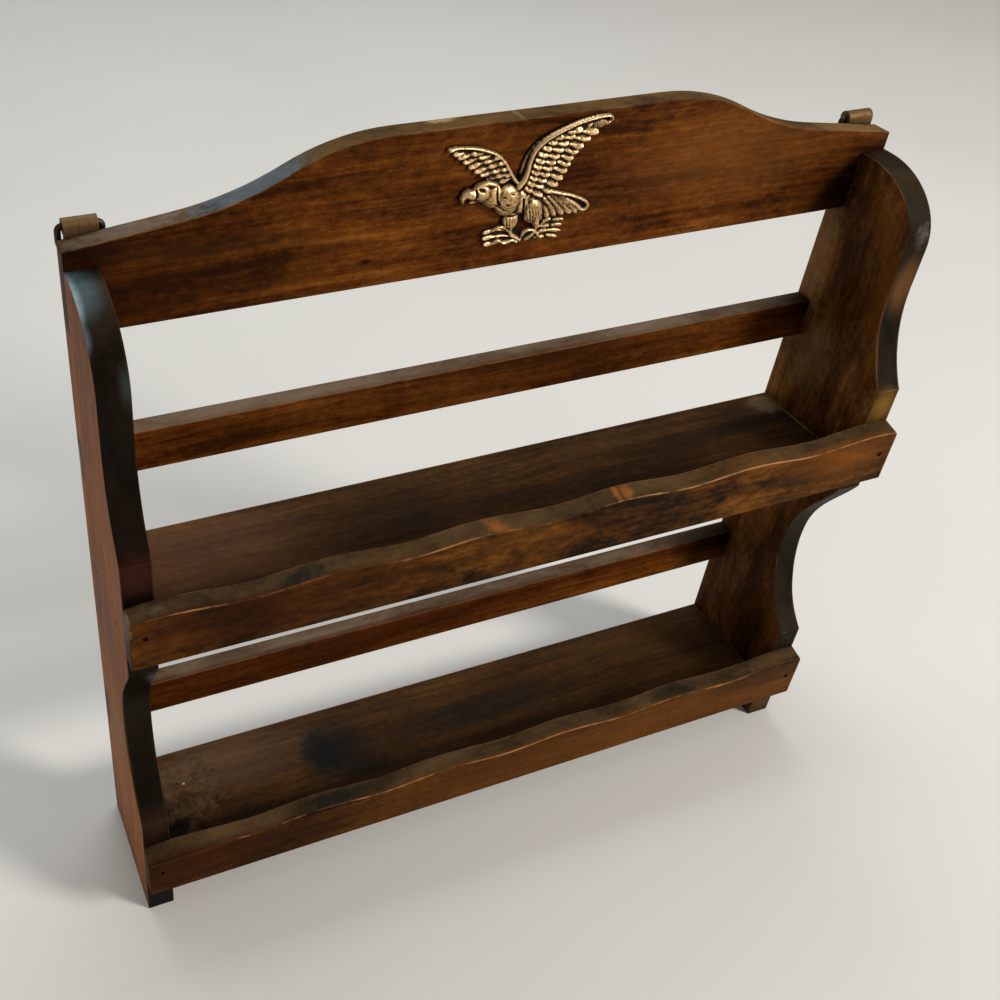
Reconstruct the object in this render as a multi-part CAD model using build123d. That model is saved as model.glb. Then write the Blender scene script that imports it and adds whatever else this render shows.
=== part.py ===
from build123d import *

import os
from math import atan2, ceil, cos, degrees, hypot, pi

# Two-tier wooden wall shelf with a shaped crest, scalloped shelf lips and a
# cast eagle.  Millimetres, +Z up, +X to the right, the viewer stands at -Y.
# The origin is on the ground, in the middle of the shelf's outer box.

# Overall sizes
WIDTH = 356.0            # over the outer faces of the two sides (14 in)
SIDE_T = 12.0            # thickness of the side boards
SIDE_DEPTH = 61.5        # back edge to the front edge behind the lips
SIDE_TOP = 309.6         # crown of the sides' rounded heads

# Outline of a side board, as depths from the back and heights
SHOULDER_DEPTH = 47.5    # the straight front edge below the rounded head
HEAD_RISE = 28.6         # height of the rounded head
HEAD_FLAT = 13.0         # level part of the head beside the back edge
SHOULDER_H = 19.0        # height of that straight edge
WAIST_DEPTH = 41.5       # narrowest part between the two shelves
UPPER_POINT_UP = 44.8    # upper point, above the upper shelf's underside
LOWER_POINT_UP = 41.0    # lower point, above the lower shelf's underside
BELLY_DROP = 11.2        # the edge leaves the lip plane this far below that shelf

# Shelf boards and their lips
SHELF_T = 4.8
UPPER_SHELF = 173.2      # underside of the upper shelf
LOWER_SHELF = 23.3       # underside of the lower shelf
LIP_T = 8.0
LIP_H = 26.0             # height of a lip's back, at the middle of its length
LIP_RISE = 2.4           # the scalloped top rises this much from left to right
LIP_SLOPE = 2.0          # the top falls this much from back to front
LIP_ROUND = 1.2          # front top arris of a lip
WAVE = 1.2               # height of the scallops above and below the middle
WAVE_PITCH = 65.4
FIRST_CREST = 16.0       # from the left end to the first scallop's crest

# Back rails
RAIL_T = 8.5
RAIL_H = 18.5
UPPER_RAIL = 217.5       # underside of the upper rail
LOWER_RAIL = 73.3        # underside of the lower rail

# Crest
CREST_T = 9.0
CREST_BOTTOM = 284.0
CREST_END = 317.0        # top of the crest at its ends
CREST_FOOT = 321.9       # top of the crest at the foot of each ogee
CREST_TOP = 343.7
ARCH_HALF = 58.0         # half length of the level top
ARCH_RIGHT = 2.8         # its middle stands this far right of the shelf's
OGEE = 82.0              # length of the ogee beside it
OGEE_TURN = 0.56         # height at which the ogee turns, of its whole drop

# Nails and brads
NAIL_D = 1.6
BRAD_D = 1.3
NAIL_SET = 0.6           # nails are set this far below the surface
SHELF_NAIL = 28.0
CREST_NAIL = 24.0
RAIL_NAIL = 22.0
BRAD_L = 20.0
BRAD_UP = 14.5           # above the lip's lower edge
SHELF_NAIL_DEPTHS = (15.0, 46.0)
CREST_NAIL_UP = 5.0

# Hangers: a screwed strap rolled round the straight bar of a D-ring
HANGER_IN = 9.0          # from the shelf's end to the middle of a hanger
BARREL_UP = 3.7          # ring's axis above the crest's end
STRAP_T = 1.5
STRAP_W = 12.4
STRAP_UP = 8.0           # lower end of the strap above the crest's lower edge
WIRE_D = 2.4
RING_PLAY = 0.08         # radial clearance of the wire in the rolled barrel
RING_SIDE_GAP = 0.4      # between the barrel's end and the ring's arm
RING_ARM = 5.0           # straight part of each arm, below the axis
RING_CORNER = 1.9        # radius at the wire's centre line
SCREW_UP = 7.0           # above the strap's lower end
SCREW_D = 2.8
SCREW_L = 14.0
SCREW_HEAD_D = 6.0
SCREW_HEAD_T = 1.9
SLOT_W = 0.9

# Eagle, placed by one point of the crest's face
EAGLE_SPAN = 66.7        # from wing tip to wing tip
EAGLE_RIGHT = 0.5        # that point from the middle of the shelf
EAGLE_UP = 30.2          # and above the crest's lower edge
STUD_D = 2.5             # studs cast on the back, let into the crest
STUD_L = 5.0
STUDS = ((-12.0, -1.0), (4.0, 8.0))

# Reference planes
BARREL_R = WIRE_D / 2 + RING_PLAY + STRAP_T
DEPTH = SIDE_DEPTH + LIP_T + 2 * BARREL_R
BACK = DEPTH / 2 - 2 * BARREL_R
FRONT = BACK - SIDE_DEPTH
END = WIDTH / 2
INNER = END - SIDE_T
SIDE_MID = END - SIDE_T / 2
CREST_FACE = BACK - CREST_T
BARREL_Y = BACK + BARREL_R
BARREL_Z = CREST_END + BARREL_UP
HANGER_X = END - HANGER_IN
STRAP_LOW = CREST_BOTTOM + STRAP_UP
SCREW_Z = STRAP_LOW + SCREW_UP
EAGLE_UNIT = EAGLE_SPAN / 66.7   # the bird is drawn 66.7 units across

EAGLE_PLANE = Plane(
    origin=(EAGLE_RIGHT, CREST_FACE, CREST_BOTTOM + EAGLE_UP), x_dir=(1, 0, 0), z_dir=(0, -1, 0)
)


def block(x0, x1, y0, y1, z0, z1):
    """A box from its corners."""
    middle = Pos((x0 + x1) / 2, (y0 + y1) / 2, (z0 + z1) / 2)
    return middle * Box(x1 - x0, y1 - y0, z1 - z0)


def aim(point, direction):
    """A location at the point whose Z axis looks along the direction."""
    return Plane(origin=point, z_dir=direction).location


def driven(point, direction, diameter, length):
    """A slim finishing nail set just below a face, and the hole it makes."""
    place = aim(point, direction)
    depth = NAIL_SET + length
    nail = place * Pos(0, 0, -NAIL_SET - length / 2) * Cylinder(diameter / 2, length)
    hole = place * Pos(0, 0, -depth / 2) * Cylinder(diameter / 2, depth)
    return nail, hole


def side_outline():
    """Profile of a side board in the YZ plane, with its notches cut."""
    def at(depth, z):
        return (BACK - depth, z)

    upper_point = UPPER_SHELF + UPPER_POINT_UP
    lower_point = LOWER_SHELF + LOWER_POINT_UP
    belly = UPPER_SHELF - BELLY_DROP
    head_r = SHOULDER_DEPTH - HEAD_FLAT
    shoulder_z = SIDE_TOP - HEAD_RISE
    shoulder_low = shoulder_z - SHOULDER_H
    head = EllipticalCenterArc(
        at(HEAD_FLAT, shoulder_z), head_r, HEAD_RISE, 90, arc_size=90
    )
    upper = TangentArc(
        at(SHOULDER_DEPTH, shoulder_low), at(SIDE_DEPTH, upper_point), tangent=(0, -1)
    )
    waist_z = (belly + lower_point) / 2
    half = (belly - lower_point) / 2
    waist_d = SIDE_DEPTH - WAIST_DEPTH
    lower = Spline(
        at(SIDE_DEPTH, belly),
        at(WAIST_DEPTH + 0.54 * waist_d, waist_z + 0.69 * half),
        at(WAIST_DEPTH + 0.11 * waist_d, waist_z + 0.35 * half),
        at(WAIST_DEPTH, waist_z),
        at(WAIST_DEPTH + 0.18 * waist_d, waist_z - 0.45 * half),
        at(WAIST_DEPTH + 0.62 * waist_d, waist_z - 0.83 * half),
        at(SIDE_DEPTH, lower_point),
        tangents=((0.45, -0.89), (-0.72, -0.69)),
    )
    edges = [
        Line(at(0, 0), at(0, SIDE_TOP)),
        Line(at(0, SIDE_TOP), at(HEAD_FLAT, SIDE_TOP)),
        head,
        Line(at(SHOULDER_DEPTH, shoulder_z), at(SHOULDER_DEPTH, shoulder_low)),
        upper,
        Line(at(SIDE_DEPTH, upper_point), at(SIDE_DEPTH, belly)),
        lower,
        Line(at(SIDE_DEPTH, lower_point), at(SIDE_DEPTH, 0)),
        Line(at(SIDE_DEPTH, 0), at(0, 0)),
    ]
    return make_face(Plane.YZ * Curve(edges))


def side_board(hand):
    """One side board: hand is -1 for the left and 1 for the right."""
    x0 = -END if hand < 0 else INNER
    board = Pos(x0, 0, 0) * extrude(side_outline(), amount=SIDE_T, dir=(1, 0, 0))
    x1 = x0 + SIDE_T
    board -= block(x0, x1, CREST_FACE, BACK, CREST_BOTTOM, SIDE_TOP)
    for low in (UPPER_RAIL, LOWER_RAIL):
        board -= block(x0, x1, BACK - RAIL_T, BACK, low, low + RAIL_H)
    return board


def shelf_board(low):
    """A shelf board between the sides, its front edge behind the lip."""
    return block(-INNER, INNER, FRONT, BACK, low, low + SHELF_T)


def wave_face(y, top):
    """Upright outline of a lip at one depth, with its scalloped top."""
    count = ceil(WIDTH / WAVE_PITCH * 4)
    points = []
    for i in range(count + 1):
        along = i / count - 0.5
        phase = 2 * pi * (WIDTH * i / count - FIRST_CREST) / WAVE_PITCH
        points.append((WIDTH * along, top + LIP_RISE * along + WAVE * cos(phase)))
    crown = Spline(*points)
    left = Line((-END, 0), crown @ 0)
    right = Line(crown @ 1, (END, 0))
    base = Line((END, 0), (-END, 0))
    plane = Plane(origin=(0, y, 0), x_dir=(1, 0, 0), z_dir=(0, -1, 0))
    return plane * make_face([left, crown, right, base])


def lip(low):
    """A front lip: level below, scalloped and falling forward on top."""
    behind = wave_face(FRONT, LIP_H)
    ahead = wave_face(FRONT - LIP_T, LIP_H - LIP_SLOPE)
    board = loft([behind, ahead], ruled=True)
    crown = board.faces().sort_by(Axis.Y)[0].edges().sort_by(Axis.Z)[-1]
    return Pos(0, 0, low) * fillet(crown, LIP_ROUND)


def back_rail(low):
    """A flat rail let into the back edges of both sides."""
    return block(-END, END, BACK - RAIL_T, BACK, low, low + RAIL_H)


def crest_half(hand):
    """Top edge of one half of the crest, from the middle to the end."""
    flat = ARCH_RIGHT + ARCH_HALF * hand
    turn = flat + OGEE / 2 * hand
    foot = flat + OGEE * hand
    turn_z = CREST_FOOT + OGEE_TURN * (CREST_TOP - CREST_FOOT)
    arch = Line((ARCH_RIGHT, CREST_TOP), (flat, CREST_TOP))
    crown = TangentArc((flat, CREST_TOP), (turn, turn_z), tangent=(hand, 0))
    hollow = TangentArc((turn, turn_z), (foot, CREST_FOOT), tangent=crown % 1)
    end = Line((foot, CREST_FOOT), (END * hand, CREST_END))
    side = Line((END * hand, CREST_END), (END * hand, CREST_BOTTOM))
    return [arch, crown, hollow, end, side]


def crest_board():
    """The shaped board across the top, seated in the sides' notches."""
    base = Line((-END, CREST_BOTTOM), (END, CREST_BOTTOM))
    plane = Plane(origin=(0, BACK, 0), x_dir=(1, 0, 0), z_dir=(0, -1, 0))
    outline = make_face(plane * Curve(crest_half(1) + crest_half(-1) + [base]))
    return extrude(outline, amount=CREST_T, dir=(0, -1, 0))


def strap(x):
    """A hanger strap with its rolled barrel and countersunk screw hole."""
    flat = Plane(origin=(x, BACK, 0), x_dir=(1, 0, 0), z_dir=(0, -1, 0))
    length = BARREL_Z - STRAP_LOW
    tongue = Rectangle(STRAP_W, length)
    tongue = fillet(tongue.vertices().group_by(Axis.Y)[0], STRAP_W * 0.35)
    middle = (BARREL_Z + STRAP_LOW) / 2
    plate = extrude(flat * Pos(0, middle) * tongue, amount=-STRAP_T)
    along = Plane(origin=(x, BARREL_Y, BARREL_Z), z_dir=(1, 0, 0))
    barrel = extrude(along * Circle(BARREL_R), amount=STRAP_W / 2, both=True)
    bore = extrude(
        along * Circle(WIRE_D / 2 + RING_PLAY), amount=STRAP_W / 2, both=True
    )
    hole = aim((x, BACK + STRAP_T / 2, SCREW_Z), (0, 1, 0)) * Cylinder(SCREW_D / 2, STRAP_T)
    return plate + barrel - bore - hole


def ring(x):
    """A D-ring hanging down from its barrel."""
    half = STRAP_W / 2 + RING_SIDE_GAP + WIRE_D / 2
    corner = RING_CORNER
    low = -RING_ARM
    plane = Plane(origin=(x, BARREL_Y, BARREL_Z), x_dir=(1, 0, 0), z_dir=(0, -1, 0))
    bar = Line((-half + corner, 0), (half - corner, 0))
    right = CenterArc((half - corner, -corner), corner, 0, 90)
    arm_right = Line((half, -corner), (half, low))
    bow = CenterArc((0, low), half, 180, 180)
    arm_left = Line((-half, low), (-half, -corner))
    left = CenterArc((-half + corner, -corner), corner, 90, 90)
    path = Wire(plane * Curve([bar, right, arm_right, bow, arm_left, left]))
    section = Plane(origin=(x, BARREL_Y, BARREL_Z), z_dir=(1, 0, 0)) * Circle(WIRE_D / 2)
    return sweep(section, path=path)


def screw(x):
    """A round-headed slotted screw through the strap, and its pilot hole."""
    place = aim((x, BACK + STRAP_T, SCREW_Z), (0, 1, 0))
    shank_l = SCREW_L - SCREW_D
    shank = Pos(0, 0, -shank_l / 2) * Cylinder(SCREW_D / 2, shank_l)
    tip = Pos(0, 0, -shank_l - SCREW_D / 2) * Cone(0.3, SCREW_D / 2, SCREW_D)
    radius = SCREW_HEAD_D / 2
    ball = (radius ** 2 + SCREW_HEAD_T ** 2) / (2 * SCREW_HEAD_T)
    dome = Pos(0, 0, SCREW_HEAD_T - ball) * Sphere(ball)
    dome = dome & Pos(0, 0, SCREW_HEAD_T / 2) * Cylinder(radius, SCREW_HEAD_T)
    slot = Pos(0, 0, SCREW_HEAD_T) * Box(SCREW_HEAD_D, SLOT_W, SCREW_HEAD_T)
    pilot = Pos(0, 0, -SCREW_L / 2) * Cylinder(SCREW_D / 2, SCREW_L)
    return place * (shank + tip + (dome - slot)), place * pilot


def plate(points, height):
    """A flat part of the casting, from a straight-sided outline."""
    corners = [(x * EAGLE_UNIT, y * EAGLE_UNIT) for x, y in points]
    return extrude(make_face(Polyline(*corners, close=True)), amount=height * EAGLE_UNIT)


def mound(x, y, length, width, height, turn):
    """A rounded mass of the bird: an egg sunk so that it stands this high."""
    u = EAGLE_UNIT
    half = width / 2
    curve = EllipticalCenterArc((0, 0), length * u / 2, half * u, 0, arc_size=180)
    egg = revolve(make_face([curve, Line(curve @ 1, curve @ 0)]), Axis.X)
    return Pos(x * u, y * u, (height - half) * u) * Rot(0, 0, turn) * egg


def limb(stations, sides=8):
    """A tapering bar through stations of x, y, height and radius."""
    sized = [[value * EAGLE_UNIT for value in station] for station in stations]
    rings = []
    for i, (x, y, h, r) in enumerate(sized):
        a = sized[max(i - 1, 0)]
        b = sized[min(i + 1, len(sized) - 1)]
        along = (b[0] - a[0], b[1] - a[1], b[2] - a[2])
        place = Plane(origin=(x, y, h), x_dir=(0, 0, 1), z_dir=along)
        rings.append(place * RegularPolygon(r, sides))
    return loft(rings, ruled=True)


def feather(root, tip, width, low, tilt):
    """A blade from root to tip, tilted about its length to overlap."""
    u = EAGLE_UNIT
    length = hypot(tip.X - root.X, tip.Y - root.Y) * u
    turn = degrees(atan2(tip.Y - root.Y, tip.X - root.X))
    half = width * u / 2
    blade = Polyline(
        (0, -half), (length - 0.5 * half, -half), (length + 0.4 * half, -0.4 * half),
        (length + 0.4 * half, 0.4 * half), (length - 0.5 * half, half), (0, half), close=True,
    )
    place = Pos(root.X * u, root.Y * u, low * u) * Rot(0, 0, turn) * Rot(tilt, 0, 0)
    return place * extrude(make_face(blade), amount=0.9 * u)


def plumage(roots, tips, count, near, far, width, low, tilt):
    """A row of feathers covering part of the way from the roots to the tips."""
    row = []
    for i in range(count):
        t = (i + 0.5) / count
        a = roots @ t
        b = tips @ t
        row.append(feather(a + (b - a) * near, a + (b - a) * far, width, low, tilt))
    return row


def wings():
    """Both spread wings: a thin web, rows of feathers and the leading bars."""
    roots = Spline((-1.5, 5), (-2, 15), (3, 20.8), (9, 24), (19, 25.6))
    tips = Spline((9.6, -1.6), (14.2, 4.7), (16.6, 11), (21, 16.8), (30.6, 24.6))
    forms = plumage(roots, tips, 10, 0.35, 0.97, 3.3, 0.7, 11)
    forms += plumage(roots, tips, 9, 0.15, 0.66, 2.9, 1.1, 11)
    forms += plumage(roots, tips, 8, 0.05, 0.38, 2.6, 1.5, 11)
    roots = Spline((-6.5, 5.5), (-9, 11), (-12.5, 15.5), (-17, 18.8), (-27, 20.9))
    tips = Spline((-16.6, 5.4), (-19.4, 9), (-23.6, 11.9), (-27.6, 14.7), (-34, 20.2))
    forms += plumage(roots, tips, 8, 0.30, 0.97, 3.0, 0.7, -11)
    forms += plumage(roots, tips, 7, 0.05, 0.60, 2.6, 1.1, -11)
    right = [(-4, 0), (-3, 14), (3, 21), (14, 25), (30, 25.5), (20, 16), (15, 8), (9, -1)]
    left = [(-4, 0), (-8, 10), (-13, 16), (-22, 19.5), (-33, 21), (-24, 12.8), (-15, 4)]
    forms += [plate(right, 1.2), plate(left, 1.2)]
    forms.append(limb([
        (-3.2, 1.5, 1.0, 2.2), (-2.6, 10, 1.2, 1.9), (0.4, 17.6, 1.2, 2.0),
        (8.5, 24, 1.1, 1.5), (20, 26.1, 0.9, 0.9), (31.8, 26.2, 0.8, 0.8),
    ]))
    forms.append(limb([
        (-5.5, 3.5, 1.0, 1.3), (-9, 11, 1.1, 0.9), (-14, 16.4, 1.1, 0.9),
        (-23, 20, 0.9, 0.8), (-34.8, 21.5, 0.8, 0.9),
    ]))
    return forms


def trunk():
    """Head with its hooked beak, breast, thighs, legs and the fanned tail."""
    roots = Spline((1.5, -3), (7, -1.5), (13, -1.6))
    tips = Spline((1.6, -10), (9, -11.6), (18.5, -11.2), (26.8, -9.6))
    fan = plumage(roots, tips, 8, 0.0, 0.98, 3.2, 0.7, 10)
    web = plate([(-2, 0), (10, 0), (26, -7.2), (26, -10.5), (17, -11), (1, -10)], 1.2)
    masses = [
        mound(-7.4, -1.6, 17, 12.5, 4.8, -60),
        mound(-17.2, 0.8, 12.5, 11, 4.4, -30),
        mound(-20.3, 2.6, 9, 7.4, 4.2, 30),
        mound(-5.2, -10.4, 9.5, 6.2, 3.6, -75),
        mound(4.2, -11.6, 8, 5, 2.6, -80),
    ]
    beak = limb([(-23.5, 2.8, 1.6, 2.3), (-26.3, 1.6, 1.5, 1.7), (-27.2, -0.6, 1.2, 0.6)])
    left_leg = limb([(-4.6, -12.5, 1.6, 1.7), (-2.2, -18.3, 1.2, 1.0)])
    right_leg = limb([(5.6, -13, 1.4, 1.4), (3.4, -17.6, 1.2, 0.9)])
    return fan + [web] + masses + [beak, left_leg, right_leg]


def claws():
    """Arrows to the left, a leafy branch to the right and the toes on them."""
    forms = []
    for drop in (0, 2.6, 5.0):
        y = -14.8 - drop
        forms.append(limb([(-15.6, y, 1.1, 0.65), (-0.5, -18.9 - drop / 4, 1.1, 0.65)]))
        forms.append(plate([(-16.6, y - 0.2), (-13.0, y + 1.2), (-13.4, y - 1.4)], 1.7))
    for i in range(5):
        root = Vector(4.0 + 0.6 * i, -17.0 - 0.8 * i)
        tip = Vector(17.6, -13.9 - 1.75 * i)
        forms.append(feather(root, tip, 1.9, 0.4, 9))
    for x in (0.0, 1.6):
        forms.append(limb([
            (x - 4.2, x * 0.7 - 17.6, 1.6, 0.75), (x - 1.0, x * 0.3 - 18.6, 2.2, 0.9),
            (x + 0.8, x * 0.3 - 20.6, 1.0, 0.6),
        ]))
    forms.append(plate([
        (-13.5, -14.8), (-13.5, -20), (0, -20.6), (15.5, -20.6), (16, -15), (4, -16.5),
        (-3, -17),
    ], 0.9))
    return forms


def eagle():
    """The cast eagle and its studs, standing on the crest's face."""
    first, *others = wings() + trunk() + claws()
    bird = first.fuse(*others)
    reach = 60 * EAGLE_UNIT
    bird = bird & Pos(0, 0, reach / 2) * Box(2 * reach, 2 * reach, reach)
    studs = []
    for x, y in STUDS:
        middle = Pos(x * EAGLE_UNIT, y * EAGLE_UNIT, -STUD_L / 2)
        studs.append(middle * Cylinder(STUD_D / 2, STUD_L))
    return EAGLE_PLANE * bird, EAGLE_PLANE * (studs[0] + studs[1])


def fasten(pieces):
    """Drive every nail, brad and screw, and bore its hole in what it joins."""
    groups = {}

    def drive(name, hosts, shape, hole):
        groups.setdefault(name, []).append(shape)
        for host in hosts:
            pieces[host] -= hole

    for hand, side in ((-1, "left_side"), (1, "right_side")):
        for shelf, low in (("upper_shelf", UPPER_SHELF), ("lower_shelf", LOWER_SHELF)):
            for depth in SHELF_NAIL_DEPTHS:
                spot = (hand * END, BACK - depth, low + SHELF_T / 2)
                shape, hole = driven(spot, (hand, 0, 0), NAIL_D, SHELF_NAIL)
                drive("shelf_nails", (side, shelf), shape, hole)
        for front, low in (("upper_front_lip", UPPER_SHELF), ("lower_front_lip", LOWER_SHELF)):
            spot = (hand * SIDE_MID, FRONT - LIP_T, low + BRAD_UP)
            shape, hole = driven(spot, (0, -1, 0), BRAD_D, BRAD_L)
            drive("lip_brads", (side, front), shape, hole)
        for rail, low in (("upper_back_rail", UPPER_RAIL), ("lower_back_rail", LOWER_RAIL)):
            spot = (hand * SIDE_MID, BACK, low + RAIL_H / 2)
            shape, hole = driven(spot, (0, 1, 0), NAIL_D, RAIL_NAIL)
            drive("rail_nails", (side, rail), shape, hole)
        spot = (hand * SIDE_MID, BACK, CREST_BOTTOM + CREST_NAIL_UP)
        shape, hole = driven(spot, (0, 1, 0), NAIL_D, CREST_NAIL)
        drive("crest_nails", (side, "crest_rail"), shape, hole)
        shape, hole = screw(hand * HANGER_X)
        drive("hanger_screws", (side, "crest_rail"), shape, hole)
    for name, shapes in groups.items():
        pieces[name] = Compound(children=[s.solid() for s in shapes])


def build():
    """Every piece of the shelf, by name."""
    pieces = {
        "left_side": side_board(-1),
        "right_side": side_board(1),
        "crest_rail": crest_board(),
        "upper_shelf": shelf_board(UPPER_SHELF),
        "lower_shelf": shelf_board(LOWER_SHELF),
        "upper_front_lip": lip(UPPER_SHELF),
        "lower_front_lip": lip(LOWER_SHELF),
        "upper_back_rail": back_rail(UPPER_RAIL),
        "lower_back_rail": back_rail(LOWER_RAIL),
    }
    fasten(pieces)
    bird, studs = eagle()
    pieces["crest_rail"] -= studs
    pieces["eagle_emblem"] = bird + studs
    for hand, word in ((-1, "left"), (1, "right")):
        pieces[f"{word}_hanger_strap"] = strap(hand * HANGER_X)
        pieces[f"{word}_hanger_ring"] = ring(hand * HANGER_X)
    return pieces


os.makedirs("parts", exist_ok=True)
for name, piece in build().items():
    export_step(piece, f"parts/{name}.step")
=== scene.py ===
import bpy
import numpy as np
from mathutils import Euler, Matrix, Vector


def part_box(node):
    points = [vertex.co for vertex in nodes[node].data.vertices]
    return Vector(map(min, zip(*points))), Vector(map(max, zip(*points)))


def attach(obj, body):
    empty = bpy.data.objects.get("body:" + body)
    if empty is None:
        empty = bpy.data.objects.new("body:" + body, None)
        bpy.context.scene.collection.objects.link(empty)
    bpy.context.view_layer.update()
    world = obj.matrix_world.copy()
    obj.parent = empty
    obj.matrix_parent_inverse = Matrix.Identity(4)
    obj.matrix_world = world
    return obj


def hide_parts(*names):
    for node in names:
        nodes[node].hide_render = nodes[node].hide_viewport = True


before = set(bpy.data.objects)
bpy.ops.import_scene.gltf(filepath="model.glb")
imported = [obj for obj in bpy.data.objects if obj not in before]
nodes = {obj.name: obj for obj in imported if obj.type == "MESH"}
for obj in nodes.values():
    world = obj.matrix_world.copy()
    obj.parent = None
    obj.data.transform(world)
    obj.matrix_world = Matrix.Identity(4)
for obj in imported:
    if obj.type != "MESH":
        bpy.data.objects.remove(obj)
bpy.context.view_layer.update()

# The looks of a two-tier wall shelf: stained wood, aged metal and the fine relief of a cast eagle.
# The frame is the part's own: metres, +Z up, +X to the right, and the viewer stands at -Y.
X, Y, Z = range(3)
# Both also carry painted light: painted shade on the slopes turned from the key lamp, and painted
# highlights on those turned to it.
TARNISH_AND_SHADE = "hollow"   # the casting's attributes: where tarnish lies,
RUBBED_AND_HIGHLIT = "rubbed"   # and where it is rubbed bright


# Node helpers
def lin(r, g, b):
    """An 8-bit display colour as the linear colour that a shader takes."""

    def one(c):
        c = c / 255
        return c / 12.92 if c <= 0.04045 else ((c + 0.055) / 1.055) ** 2.4

    return (one(r), one(g), one(b), 1.0)


def metres(values):
    """A place or a size in millimetres, in the frame's metres."""
    return [v / 1000 for v in values]


class Tree:
    """One material's nodes, joined by calls that return output sockets."""

    def __init__(self, name):
        self.material = bpy.data.materials.new(name)
        self.material.use_nodes = True
        self.tree = self.material.node_tree
        self.tree.nodes.clear()
        self.output = self.tree.nodes.new("ShaderNodeOutputMaterial")

    def add(self, kind, inputs=None, **settings):
        """A new node, with its settings made and its inputs set or joined."""
        node = self.tree.nodes.new("ShaderNode" + kind)
        for key, value in settings.items():
            setattr(node, key, value)
        for key, value in (inputs or {}).items():
            if isinstance(value, bpy.types.NodeSocket):
                self.tree.links.new(value, node.inputs[key])
            else:
                node.inputs[key].default_value = value
        return node

    def math(self, operation, a, b=0.0, clamp=False):
        return self.add("Math", {0: a, 1: b}, operation=operation, use_clamp=clamp).outputs[0]

    def mul(self, a, b):
        return self.math("MULTIPLY", a, b)

    def weighed(self, *parts):
        """The sum of some sockets, each times its weight."""
        total, *rest = [self.mul(socket, weight) for socket, weight in parts]
        for part in rest:
            total = self.math("ADD", total, part)
        return total

    def vec(self, operation, a, b=(0, 0, 0)):
        node = self.add("VectorMath", {0: a, 1: b}, operation=operation)
        is_number = operation in ("DOT_PRODUCT", "DISTANCE", "LENGTH")
        return node.outputs["Value" if is_number else "Vector"]

    def scale(self, v, factor):
        return self.add("VectorMath", {0: v, 3: factor}, operation="SCALE").outputs["Vector"]

    def mix(self, amount, a, b):
        """Colour a, covered by colour b in an amount from 0 to 1."""
        return self.add("Mix", {0: amount, 6: a, 7: b}, data_type="RGBA").outputs[2]

    def span(self, value, start, stop, first=0.0, last=1.0, smooth=True):
        """Maps start..stop to first..last, held beyond them, with eased or straight ends."""
        inputs = {"Value": value, "From Min": start, "From Max": stop, "To Min": first, "To Max": last}
        kind = "SMOOTHSTEP" if smooth else "LINEAR"
        return self.add("MapRange", inputs, interpolation_type=kind).outputs[0]

    def noise(self, v, scale, detail, rough, warp=0.0):
        inputs = {"Vector": v, "Scale": scale, "Detail": detail, "Roughness": rough, "Distortion": warp}
        return self.add("TexNoise", inputs).outputs[0]

    def ramp(self, value, stops):
        """A colour ramp through stops of a position and a colour."""
        node = self.add("ValToRGB", {0: value})
        elements = node.color_ramp.elements
        elements[0].position, elements[0].color = stops[0]
        elements[1].position, elements[1].color = stops[-1]
        for position, colour in stops[1:-1]:
            elements.new(position).color = colour
        return node.outputs[0]

    def rounded_normal(self, radius):
        """The surface's normal, as if its arrises were rounded to the radius."""
        return self.add("Bevel", {"Radius": radius}, samples=4).outputs[0]

    def openness(self, distance, samples):
        """1 on open surfaces, down to 0 in corners and hollows."""
        return self.add("AmbientOcclusion", {"Distance": distance}, samples=samples).outputs["AO"]

    def bump(self, height, distance, strength, normal):
        inputs = {"Height": height, "Distance": distance, "Strength": strength, "Normal": normal}
        return self.add("Bump", inputs).outputs[0]

    def done(self, inputs):
        """The material, with a shader that has these inputs."""
        shader = self.add("BsdfPrincipled", inputs)
        self.tree.links.new(shader.outputs[0], self.output.inputs["Surface"])
        return self.material


# Stained wood: what each noise adds to the stain's tone, and how far the tones spread
FIGURE = 0.42
STREAK = 0.30
WIDE = 0.25
SPECK = 0.34
SPREAD = 0.19

# Tones of what every wood may have, of the painted shade in its corners, and of brass that is rubbed
# bright, with painted highlights
KNOT = (22, 9, 3)
LUMP = (100, 78, 54)
CRACK = (14, 9, 4)
CORNER_SHADE = (9, 4, 1)
HOLE = (10, 5, 2)
POLISHED_AND_HIGHLIT = (232, 196, 146)

# In metres: how deep the noise cuts a surface, how far painted shade reaches into a wood's corners and
# tarnish into a metal's, and how round metal is
WOOD_RELIEF = 0.0002
METAL_RELIEF = 0.00006
WOOD_CORNER = 0.02
METAL_CORNER = 0.0025
METAL_ROUND = 0.0005


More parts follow.
